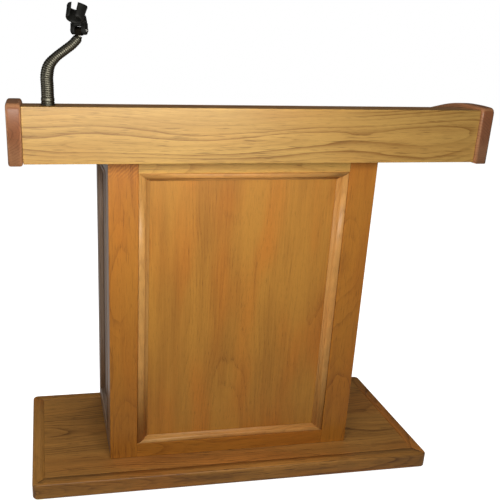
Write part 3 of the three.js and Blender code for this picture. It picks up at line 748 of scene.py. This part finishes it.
def neck_line():
    """The gooseneck's centre line, as close-set points and the distance along it to each.

    The third value is the distances to its foot, its pivots and its head.
    """
    joints = {joint["name"]: Vector(joint["pos_m"]) for joint in frame["joints"]}
    pivots = [joints[f"neck_{way}_{number}"] for number in (1, 2, 3) for way in ("fore", "side")]
    foot = Vector((pivots[0].x, pivots[0].y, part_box("neck_socket")[1].z))
    knuckle_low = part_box("clip_knuckle")[0]
    head = Vector((joints["clip_tilt"].x, joints["clip_tilt"].y, knuckle_low.z))
    marks = [foot, *pivots, head]
    guides = [foot - Vector((0, 0, NECK_RUNOUT)), *marks, head + Vector((0, 0, NECK_RUNOUT))]
    steps = 40
    points, stops = [], [0]
    for i in range(1, len(guides) - 2):
        before, start, end, after = guides[i - 1:i + 3]
        for step in range(steps):
            t = step / steps
            points.append(0.5 * (2 * start + (end - before) * t
                                 + (2 * before - 5 * start + 4 * end - after) * t * t
                                 + (3 * start - before - 3 * end + after) * t ** 3))
        stops.append(len(points))
    points.append(head)
    lengths = [0.0]
    for first, second in zip(points, points[1:]):
        lengths.append(lengths[-1] + (second - first).length)
    return points, lengths, [lengths[stop] for stop in stops]


def point_at(points, lengths, distance):
    """The point and the direction at a distance along the line."""
    distance = min(max(distance, 0.0), lengths[-1])
    i = next(k for k in range(1, len(lengths)) if lengths[k] >= distance)
    share = (distance - lengths[i - 1]) / (lengths[i] - lengths[i - 1])
    point = points[i - 1].lerp(points[i], share)
    before, after = points[max(i - 2, 0)], points[min(i + 1, len(points) - 1)]
    return point, (after - before).normalized()


def fill_winding(line, start, end, closed_start, closed_end):
    """A stretch of wound tube: the wire stands out in a helix with a half-round back."""
    points, lengths = line[:2]
    sides = 32
    narrow_from = lengths[-1] - NECK_END["length"]
    rings_a_turn = 8
    count = max(2, round((end - start) / WINDING_PITCH * rings_a_turn))

    def radius_at(distance, angle):
        share = smoothstep(distance / lengths[-1], *NECK_TAPER)
        outer = NECK_RADII[0] + (NECK_RADII[1] - NECK_RADII[0]) * share
        outer *= 1 - NECK_END["narrowing"] * smoothstep(distance, narrow_from, lengths[-1])
        turn = distance / WINDING_PITCH + angle / (2 * math.pi)
        across = 2 * (turn - math.floor(turn)) - 1
        back = math.sqrt(max(0.0, 1 - across * across))
        return outer - WINDING_DEPTH * (1 - back), back

    def fill(shape, wear_and_groove_shade):
        rings = []
        for step in range(count + 1):
            distance = start + (end - start) * step / count
            centre, direction = point_at(points, lengths, distance)
            across = Vector((0, 1, 0))
            aside = across.cross(direction).normalized()
            ring = []
            for i in range(sides):
                angle = 2 * math.pi * i / sides
                radius, back = radius_at(distance, angle)
                spot = centre + aside * radius * math.cos(angle) + across * radius * math.sin(angle)
                # The wire's back goes into the wear layer; neck_metal paints shade between the turns from
                # it.
                ring.append(add_vertex(shape, wear_and_groove_shade, spot, back))
            rings.append(ring)
        skin(shape, rings)
        if closed_start:
            shape.faces.new(rings[0])
        if closed_end:
            shape.faces.new(rings[-1])

    return fill


def add_neck():
    line = neck_line()
    points, lengths, marks = line
    middles = [(a + b) / 2 for a, b in zip(marks, marks[1:])]
    bodies = ["lectern"] + [f"neck_{number}" for number in range(2, 8)]
    fill = fill_winding(line, 0.0, middles[0], True, False)
    new_piece("neck_winding_foot", fill, NECK_METAL, replaces=["neck_segment_1"])
    for number, (first, second) in enumerate(zip(bodies, bodies[1:])):
        start, end = middles[number], middles[number + 1]
        fill = fill_winding(line, start, end, False, False)
        replaced = [f"neck_segment_{number + 2}"] if number < 5 else []
        piece = new_piece(f"neck_winding_{number + 1}", fill, NECK_METAL,
                          replaces=replaced, body=None)
        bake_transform(piece)
    fill = fill_winding(line, middles[-1], lengths[-1], False, True)
    new_piece("neck_winding_head", fill, NECK_METAL, replaces=["neck_segment_7"],
              body="neck_7")


def add_neck_foot():
    for node, ease in (("neck_flange", 0.0009), ("neck_socket", 0.0016)):
        low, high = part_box(node)
        middle = (low + high) / 2
        flange_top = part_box("neck_flange")[1].z
        bottom = low.z if node == "neck_flange" else flange_top + 0.0003
        radius = (high.x - low.x) / 2
        height = high.z - bottom
        corners = [(0, 0), (radius, 0), (radius, height), (0, height)]
        if node == "neck_socket":
            groove = 0.0011
            corners = [(0, 0), (radius, 0), (radius, height * 0.30), (radius - groove, height * 0.34),
                       (radius - groove, height * 0.40), (radius, height * 0.44), (radius, height),
                       (0, height)]
        fill = fill_lathe(softened(corners, ease), (middle.x, middle.y, bottom), (0, 0, 1))
        new_piece(f"{node}_metal", fill, NECK_METAL, replaces=[node])
    for node in ("neck_washer", "neck_nut"):
        set_material(node, ZINC)


def set_material(node, material):
    """Gives a CAD node that keeps its shape its material."""
    mesh = frame["nodes"][node].data
    mesh.materials.clear()
    mesh.materials.append(material)


# ---------------------------------------------------------------- microphone clip


def clip_axes():
    """The tilt pivot, and the directions along the tilt axis, level away from the audience, and up."""
    tilt = next(joint for joint in frame["joints"] if joint["name"] == "clip_tilt")
    axis = Vector(tilt["axis"])
    return Vector(tilt["pos_m"]), axis, AXES[Z].cross(axis), AXES[Z]


def in_clip(point):
    pivot, across, back, up = clip_axes()
    return pivot + across * point[0] + back * point[1] + up * point[2]


def fill_tube():
    """The springy slotted tube that grips the microphone: a thick wall with rounded lips and rims."""
    c = CLIP
    lean = math.radians(c["elevation"])
    axis = Vector((0, math.cos(lean), math.sin(lean)))
    slot_way = Vector((0, -math.sin(lean), math.cos(lean)))
    side_way = Vector((1, 0, 0))
    centre = Vector((0, -c["back"], c["up"]))
    columns, rows = 40, 12

    def fill(shape, wear_and_groove_shade):
        rings = []
        for row in range(rows + 1):
            share = row / rows
            along = (share - 0.5) * c["length"]
            outer = c["lower_radius"] + (c["upper_radius"] - c["lower_radius"]) * share
            outer += c["flare"] * smoothstep(share, 0.75, 1.0)
            rim = min(share, 1 - share) * rows
            ease = c["rim_ease"] * max(0.0, 1 - rim / 1.5) ** 2
            opening = math.asin(c["slot"] / 2 / outer) + c["mouth"] * smoothstep(share, 0.55, 1.0)
            wall = c["wall"] + 0.6 * c["flare"] * (1 - share)
            outside, inside = [], []
            for column in range(columns + 1):
                turn = opening + (2 * math.pi - 2 * opening) * column / columns + c["slot_turn"]
                lip = min(column, columns - column)
                thin = 0.35 * max(0.0, 1 - lip / 2.0) ** 2 * wall
                way = slot_way * math.cos(turn) + side_way * math.sin(turn)
                rise = c["back_rise"] + c["side_rise"] * max(0.0, math.sin(turn))
                raised = along + share * rise * (0.5 - 0.5 * math.cos(turn)) ** 2
                middle = centre + axis * raised + side_way * c["aside"] * share
                outside.append(middle + way * (outer - ease - thin))
                inside.append(middle + way * (outer - wall + ease + thin))
            loop = outside + inside[::-1]
            wear_and_wire_back = 1.0 if rim < 1 else 0.0
            rings.append([add_vertex(shape, wear_and_groove_shade, in_clip(spot), wear_and_wire_back) for spot in loop])
        skin(shape, rings)
        for ring in (rings[0], rings[-1]):
            count = columns + 1
            add_faces(shape, ([ring[i], ring[i + 1], ring[2 * count - 2 - i], ring[2 * count - 1 - i]]
                              for i in range(columns)))

    return fill


def fill_fork():
    """Two ears astride the knuckle and the web that joins them to the tube, as one rounded casting."""
    c = CLIP
    inner, outer, radius = c["ear_inner"], c["ear_outer"], c["ear_radius"]

    def block(shape, wear_and_groove_shade, outline, low, high, ease):
        inward = turned(outline)
        stations = []
        steps = 4
        for i in range(steps + 1):
            angle = i / steps * math.pi / 2
            stations.append((ease * (1 - math.sin(angle)), low + ease * (1 - math.cos(angle))))
        stations += [(inset, high + low - place) for inset, place in reversed(stations)]
        rings = []
        for inset, place in stations:
            flat = [point + side * inset for point, side in zip(outline, inward)]
            rings.append([add_vertex(shape, wear_and_groove_shade, in_clip((place, p.x, p.y))) for p in flat])
        skin(shape, rings)
        shape.faces.new(rings[0])
        shape.faces.new(rings[-1])

    def fill(shape, wear_and_groove_shade):
        bridge = c["bridge"]
        ear = arc((0, 0), radius, 180, 360, 16) + [Vector((radius * 0.92, bridge + 0.004)),
                                                   Vector((-radius * 0.92, bridge + 0.004))]
        block(shape, wear_and_groove_shade, ear, -outer, -inner, 0.0016)
        block(shape, wear_and_groove_shade, ear, inner, outer, 0.0016)
        web = [Vector((-radius * 0.9, c["web_foot"])), Vector((radius * 0.9, c["web_foot"])),
               Vector((radius * 0.86, bridge + 0.007)), Vector((0.002, c["web_top"])),
               Vector((-radius * 0.8, bridge + 0.007))]
        block(shape, wear_and_groove_shade, web, -outer * 0.94, outer * 0.94, 0.0018)

    return fill


def add_clip():
    new_piece("clip_tube", fill_tube(), BLACK_PLASTIC, replaces=["mic_clip"], body="clip")
    new_piece("clip_fork", fill_fork(), BLACK_PLASTIC, body="clip")
    set_material("clip_knuckle", NECK_METAL)
    for node in ("pivot_screw", "pivot_nut"):
        set_material(node, ZINC)


# ---------------------------------------------------------------- other materials


def neck_metal():
    """Dark chrome on wound wire, with shade painted nearly black between the turns and the paler chrome
    on the wire's backs.
    """
    material, g = new_material("neck_metal")
    place = g.add("ShaderNodeTexCoord").outputs["Object"]
    back = g.add("ShaderNodeAttribute", attribute_name="wear_and_groove_shade").outputs["Fac"]
    smear = g.noise(place, (60.0, 60.0, 25.0), detail=3.0)
    spots = g.noise(place, (420.0, 420.0, 420.0), detail=2.0)
    # Painted shade: nearly black in the grooves between the turns, with the paler chrome on the wire's
    # backs.
    clear_of_groove_shade = g.spread(back, 0.10, 0.75)
    colour = g.blend(clear_of_groove_shade, (0.016, 0.013, 0.009), (0.110, 0.104, 0.080))
    colour = g.blend(g.spread(smear, 0.40, 0.72, 0.0, 0.45), colour, (0.11, 0.095, 0.065))
    rough = g.math("MULTIPLY_ADD", smear, 0.22, 0.30)
    bump = g.add("ShaderNodeBump", {"Strength": 0.08, "Distance": 0.0002, "Height": spots})
    g.set(Base_Color=colour, Metallic=1.0, Roughness=rough, Normal=bump.outputs[0])
    return material


def zinc():
    material, g = new_material("zinc")
    place = g.add("ShaderNodeTexCoord").outputs["Object"]
    grains = g.noise(place, (900.0, 900.0, 900.0), detail=2.0)
    tarnish = g.noise(place, (90.0, 90.0, 90.0), detail=3.0)
    colour = g.blend(g.spread(tarnish, 0.40, 0.70), (0.62, 0.62, 0.59), (0.40, 0.385, 0.34))
    rough = g.math("MULTIPLY_ADD", tarnish, 0.25, 0.22)
    bump = g.add("ShaderNodeBump", {"Strength": 0.15, "Distance": 0.0001, "Height": grains})
    g.set(Base_Color=colour, Metallic=1.0, Roughness=rough, Normal=bump.outputs[0])
    return material


def moulded(name, colour, worn, roughness, grain_size):
    """Moulded plastic with a fine grain, paler and shinier where hands rub it."""
    material, g = new_material(name)
    place = g.add("ShaderNodeTexCoord").outputs["Object"]
    grain = g.noise(place, (grain_size,) * 3, detail=2.0)
    haze = g.noise(place, (70.0, 70.0, 70.0), detail=3.0)
    wear_and_groove_shade = g.add("ShaderNodeAttribute", attribute_name="wear_and_groove_shade").outputs["Fac"]
    share = g.math("MULTIPLY", wear_and_groove_shade, 0.5)
    share = g.math("MULTIPLY_ADD", g.spread(haze, 0.45, 0.75), 0.35, share, clamp=True)
    rough = g.math("MULTIPLY_ADD", haze, 0.2, roughness)
    bump = g.add("ShaderNodeBump", {"Strength": 0.3, "Distance": 0.00015, "Height": grain})
    g.set(Base_Color=g.blend(share, colour, worn), Roughness=rough, Normal=bump.outputs[0],
          Specular_IOR_Level=0.25)
    return material


NECK_METAL = neck_metal()
ZINC = zinc()
BLACK_PLASTIC = moulded("black_plastic", (0.006, 0.006, 0.005), (0.016, 0.0155, 0.013), 0.5, 1600.0)
NYLON = moulded("nylon", (0.045, 0.042, 0.038), (0.075, 0.07, 0.065), 0.55, 1200.0)


def finish_hidden_nodes():
    """Materials for the bearers and shelf pins, which keep their CAD shapes."""
    for node in ("desk_bearer_left", "desk_bearer_right"):
        set_material(node, oak_for(node, "YZX", PLAIN_WOOD, 81.0, gloss=0.2))
    for place in ("front", "back"):
        for side in ("left", "right"):
            set_material(f"shelf_pin_{place}_{side}_side", ZINC)


# ---------------------------------------------------------------- camera, lights and floor


def make_camera():
    """A camera in front of the lectern and to its left, looking down."""
    turn, dip, roll = CAMERA["turn"], CAMERA["dip"], CAMERA["roll"]
    forward = Vector((math.sin(turn) * math.cos(dip), math.cos(turn) * math.cos(dip), -math.sin(dip)))
    right = Vector((math.cos(turn), -math.sin(turn), 0))
    down = forward.cross(right)
    leaning_right = math.cos(roll) * right + math.sin(roll) * down
    leaning_down = math.cos(roll) * down - math.sin(roll) * right
    data = bpy.data.cameras.new("camera")
    data.lens = CAMERA["lens"]
    data.sensor_width = 36
    data.shift_x, data.shift_y = CAMERA["shift"]
    camera = bpy.data.objects.new("camera", data)
    axes = Matrix((leaning_right, -leaning_down, -forward)).transposed()
    camera.matrix_world = Matrix.Translation(CAMERA["place"]) @ axes.to_4x4()
    bpy.context.scene.collection.objects.link(camera)
    bpy.context.scene.camera = camera


def add_area_light(name, place, target, size, power, colour):
    data = bpy.data.lights.new(name, "AREA")
    data.shape = "RECTANGLE"
    data.size, data.size_y = size
    data.energy = power
    data.color = colour
    light = bpy.data.objects.new(name, data)
    light.location = place
    direction = Vector(target) - Vector(place)
    light.rotation_euler = direction.to_track_quat("-Z", "Y").to_euler()
    light.visible_camera = False
    light.visible_glossy = name != "back"    # else it glares on the base and the desk
    bpy.context.scene.collection.objects.link(light)


def make_studio():
    """Soft lights round the lectern, in a dim room that the camera sees as white."""
    scene = bpy.context.scene
    scene.view_settings.view_transform = "Standard"
    world = bpy.data.worlds.new("studio")
    world.use_nodes = True
    tree = world.node_tree
    background = tree.nodes["Background"]
    seen = tree.nodes.new("ShaderNodeLightPath").outputs["Is Camera Ray"]
    room = tree.nodes.new("ShaderNodeMath")
    room.operation = "MAXIMUM"
    room.inputs[1].default_value = ROOM_LIGHT
    tree.links.new(seen, room.inputs[0])
    tree.links.new(room.outputs[0], background.inputs["Strength"])
    background.inputs["Color"].default_value = (1, 1, 1, 1)
    scene.world = world
    for name, (place, target, size, power, colour) in LIGHTS.items():
        add_area_light(name, place, target, size, power, colour)


def make_floor():
    """A pale floor that throws little light back, though glossy faces mirror it."""
    mesh = bpy.data.meshes.new("floor")
    reach = 8.0
    mesh.from_pydata([(-reach, -reach, 0), (reach, -reach, 0), (reach, reach, 0), (-reach, reach, 0)],
                     [], [(0, 1, 2, 3)])
    floor = bpy.data.objects.new("floor", mesh)
    bpy.context.scene.collection.objects.link(floor)
    material, g = new_material("pale_floor")
    rays = g.add("ShaderNodeLightPath").outputs
    tone = g.noise(g.add("ShaderNodeTexCoord").outputs["Object"], (1.5, 1.5, 1.5))
    pale = g.blend(tone, (0.88, 0.88, 0.88), (0.92, 0.92, 0.92))
    glow = g.math("MULTIPLY_ADD", rays["Is Glossy Ray"], FLOOR_MIRRORED, rays["Is Camera Ray"])
    g.set(Base_Color=g.blend(rays["Is Camera Ray"], (0.20, 0.15, 0.11), pale), Roughness=0.7,
          Emission_Color=(1.0, 1.0, 1.0, 1.0), Emission_Strength=glow)
    mesh.materials.append(material)


# ---------------------------------------------------------------- everything together

add_base()
add_cabinet()
add_desk()
add_book_stop()
add_neck_foot()
add_neck()
add_clip()
finish_hidden_nodes()
make_camera()
make_studio()
make_floor()
